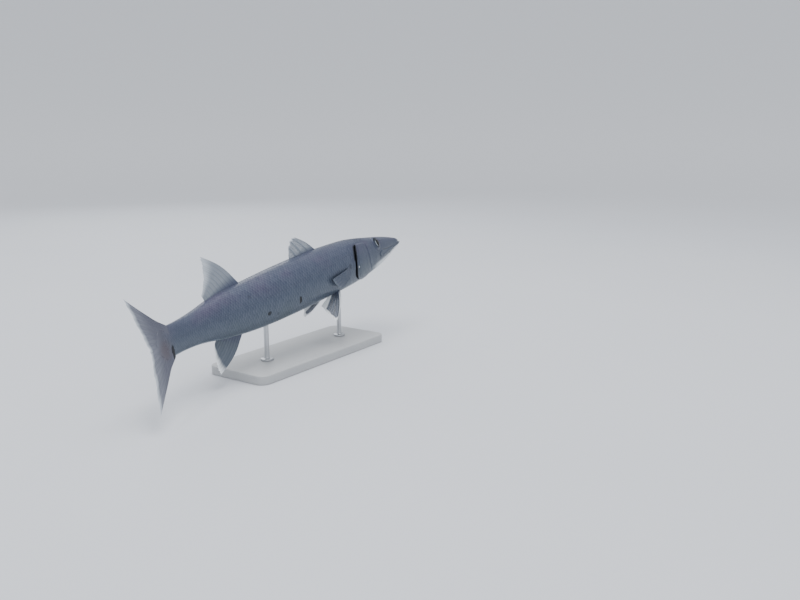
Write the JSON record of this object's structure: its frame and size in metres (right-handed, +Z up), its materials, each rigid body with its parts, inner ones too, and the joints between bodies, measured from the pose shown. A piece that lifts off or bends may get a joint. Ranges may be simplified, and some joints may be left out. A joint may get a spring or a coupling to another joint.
{
  "type": "barracuda model on a stand",
  "caption": "Life-size still model of a great barracuda swimming with its tail swung to one side, held over a flat base by short rods.",
  "frame": {"origin": "centre of the stand base's underside, where it rests on the floor", "axes": "+Z up, +X the way the fish heads at the middle of its body, +Y to its left"},
  "size_m": [0.873, 0.1871, 0.2534],
  "materials": {
    "skin": "slate grey scaled skin, darker on the back and silvery below, glossy",
    "pale_skin": "pale silver-grey bare skin of the lower jaw, glossy",
    "fin": "dark grey-green rayed fin with pale tips, satin",
    "eye": "dark pupil in a silver iris, polished",
    "stand_base": "pale grey matt lacquer",
    "stand_rod": "satin brushed"
  },
  "bodies": {
    "root": {"head": "skin", "lower_jaw": "pale_skin", "eye_left": "eye", "eye_right": "eye", "gill_cover_left": "skin", "gill_cover_right": "skin", "trunk_front": "skin", "trunk_rear": "skin", "tail_stalk": "skin", "dorsal_fin_first": "fin", "dorsal_fin_second": "fin", "anal_fin": "fin", "pectoral_fin_left": "fin", "pectoral_fin_right": "fin", "pelvic_fin_left": "fin", "pelvic_fin_right": "fin", "tail_fin_upper_lobe": "fin", "tail_fin_lower_lobe": "fin", "stand_base": "stand_base", "stand_rod_front": "stand_rod", "stand_rod_rear": "stand_rod"}
  },
  "joints": []
}
